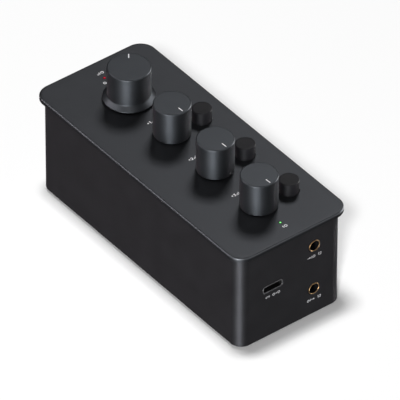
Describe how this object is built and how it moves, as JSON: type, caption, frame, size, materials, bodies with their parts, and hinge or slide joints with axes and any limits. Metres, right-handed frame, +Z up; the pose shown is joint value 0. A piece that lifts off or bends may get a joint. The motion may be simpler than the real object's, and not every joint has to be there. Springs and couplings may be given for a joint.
{
  "type": "headphone amplifier",
  "caption": "Compact desktop headphone amplifier: a long metal box with a lid that overhangs it, level knobs and push buttons on top, audio jacks and a power socket on its walls.",
  "frame": {"origin": "centre of the footprint, on the surface that the feet stand on", "axes": "+X along the long side to the end with the line jacks and the USB socket, +Y to the wall with the headphone jacks and the buttons' side, +Z up"},
  "size_m": [0.1216, 0.051, 0.0587],
  "materials": {
    "lid_anodised": "dark grey anodised, fine matte",
    "case_paint": "black, fine matte",
    "knob_anodised": "dark grey anodised, turned",
    "button_plastic": "black, satin",
    "dark_plastic": "black, moulded",
    "gold_ring": "gold plated",
    "socket_steel": "nickel plated",
    "bolt_steel": "plain",
    "foot_rubber": "matte",
    "circuit_board": "green solder mask",
    "capacitor_sleeve": "dark sleeve",
    "green_light": "lit green window",
    "red_light": "lit red window"
  },
  "bodies": {
    "case": {"amp_board": "circuit_board", "base_plate": "case_paint", "board_spacer_1": "bolt_steel", "board_spacer_2": "bolt_steel", "board_spacer_3": "bolt_steel", "board_spacer_4": "bolt_steel", "body_shell": "case_paint", "case_bolt_1": "bolt_steel", "case_bolt_2": "bolt_steel", "case_bolt_3": "bolt_steel", "case_bolt_4": "bolt_steel", "channel_1_pot_body": "dark_plastic", "channel_1_pot_nut": "bolt_steel", "channel_2_pot_body": "dark_plastic", "channel_2_pot_nut": "bolt_steel", "channel_3_pot_body": "dark_plastic", "channel_3_pot_nut": "bolt_steel", "clip_light_pipe": "red_light", "control_board": "circuit_board", "foot_1": "foot_rubber", "foot_2": "foot_rubber", "foot_3": "foot_rubber", "foot_4": "foot_rubber", "headphone_jack_1": "dark_plastic", "headphone_jack_2": "dark_plastic", "headphone_jack_3": "dark_plastic", "headphone_ring_1": "gold_ring", "headphone_ring_2": "gold_ring", "headphone_ring_3": "gold_ring", "line_in_jack": "dark_plastic", "line_in_ring": "gold_ring", "line_out_jack": "dark_plastic", "line_out_ring": "gold_ring", "master_pot_body": "dark_plastic", "master_pot_nut": "bolt_steel", "port_board": "circuit_board", "power_light_pipe": "green_light", "riser_board": "circuit_board", "supply_capacitor_1": "capacitor_sleeve", "supply_capacitor_2": "capacitor_sleeve", "switch_body_1": "dark_plastic", "switch_body_2": "dark_plastic", "switch_body_3": "dark_plastic", "top_lid": "lid_anodised", "usb_shell": "socket_steel", "usb_tongue": "dark_plastic"},
    "master_dial": {"master_knob": "knob_anodised", "master_pot_shaft": "bolt_steel"},
    "channel_1_dial": {"channel_1_knob": "knob_anodised", "channel_1_pot_shaft": "bolt_steel"},
    "channel_2_dial": {"channel_2_knob": "knob_anodised", "channel_2_pot_shaft": "bolt_steel"},
    "channel_3_dial": {"channel_3_knob": "knob_anodised", "channel_3_pot_shaft": "bolt_steel"},
    "button_1": {"button_cap_1": "button_plastic", "switch_plunger_1": "dark_plastic"},
    "button_2": {"button_cap_2": "button_plastic", "switch_plunger_2": "dark_plastic"},
    "button_3": {"button_cap_3": "button_plastic", "switch_plunger_3": "dark_plastic"}
  },
  "joints": [
    {"name": "master_turn", "type": "hinge", "parent": "case", "child": "master_dial", "pos_m": [-0.0365, 0.0002, 0.04412], "axis": [0, 0, 1], "range_deg": [-205, 95]},
    {"name": "channel_1_turn", "type": "hinge", "parent": "case", "child": "channel_1_dial", "pos_m": [-0.0111, 0.0002, 0.04412], "axis": [0, 0, 1], "range_deg": [-63, 237]},
    {"name": "channel_2_turn", "type": "hinge", "parent": "case", "child": "channel_2_dial", "pos_m": [0.0143, 0.0002, 0.04412], "axis": [0, 0, 1], "range_deg": [-63, 237]},
    {"name": "channel_3_turn", "type": "hinge", "parent": "case", "child": "channel_3_dial", "pos_m": [0.0397, 0.0002, 0.04412], "axis": [0, 0, 1], "range_deg": [-63, 237]},
    {"name": "button_1_press", "type": "slide", "parent": "case", "child": "button_1", "axis": [0, 0, -1], "range_m": [0, 0.0012], "stiffness_N_per_m": 900, "springref_m": -0.0005},
    {"name": "button_2_press", "type": "slide", "parent": "case", "child": "button_2", "axis": [0, 0, -1], "range_m": [0, 0.0012], "stiffness_N_per_m": 900, "springref_m": -0.0005},
    {"name": "button_3_press", "type": "slide", "parent": "case", "child": "button_3", "axis": [0, 0, -1], "range_m": [0, 0.0012], "stiffness_N_per_m": 900, "springref_m": -0.0005}
  ]
}
